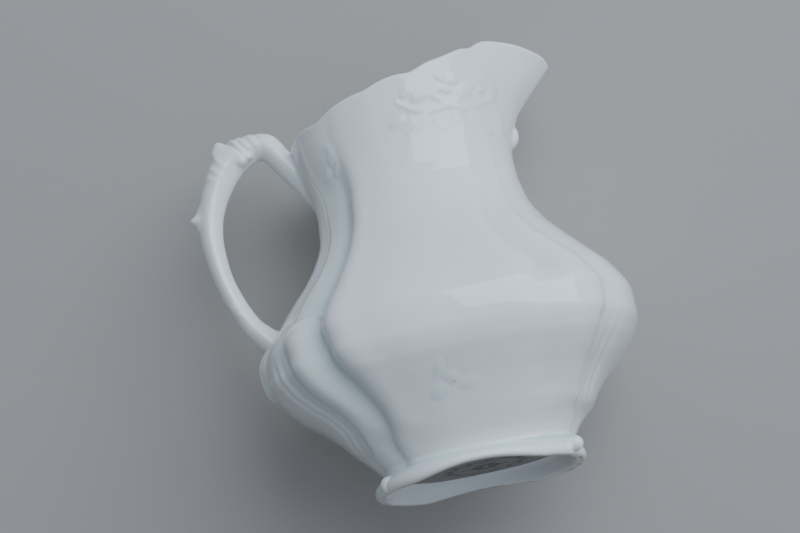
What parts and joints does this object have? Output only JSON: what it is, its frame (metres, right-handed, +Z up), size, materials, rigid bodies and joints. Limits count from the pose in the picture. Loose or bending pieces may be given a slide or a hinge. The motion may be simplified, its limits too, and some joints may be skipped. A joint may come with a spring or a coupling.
{
  "type": "cream jug",
  "caption": "Small white porcelain cream jug with a lobed low belly, flared scalloped lip and spout, bracket foot and cast scroll handle.",
  "frame": {"origin": "middle of the bounding box's base, on the surface the foot stands on; the middle of the foot is 8 mm towards the spout", "axes": "+Z up; +X towards the spout, the handle on -X; +Y across the jug, which is symmetrical about the XZ plane"},
  "size_m": [0.1278, 0.096, 0.1285],
  "materials": {
    "jug_body_glaze": "polished",
    "foot_ring_glaze": "polished",
    "handle_glaze": "polished",
    "upper_slip_joint_glaze": "polished",
    "lower_slip_joint_glaze": "polished"
  },
  "bodies": {
    "root": {"jug_body": "jug_body_glaze", "foot_ring": "foot_ring_glaze", "handle": "handle_glaze", "upper_slip_joint": "upper_slip_joint_glaze", "lower_slip_joint": "lower_slip_joint_glaze"}
  },
  "joints": []
}
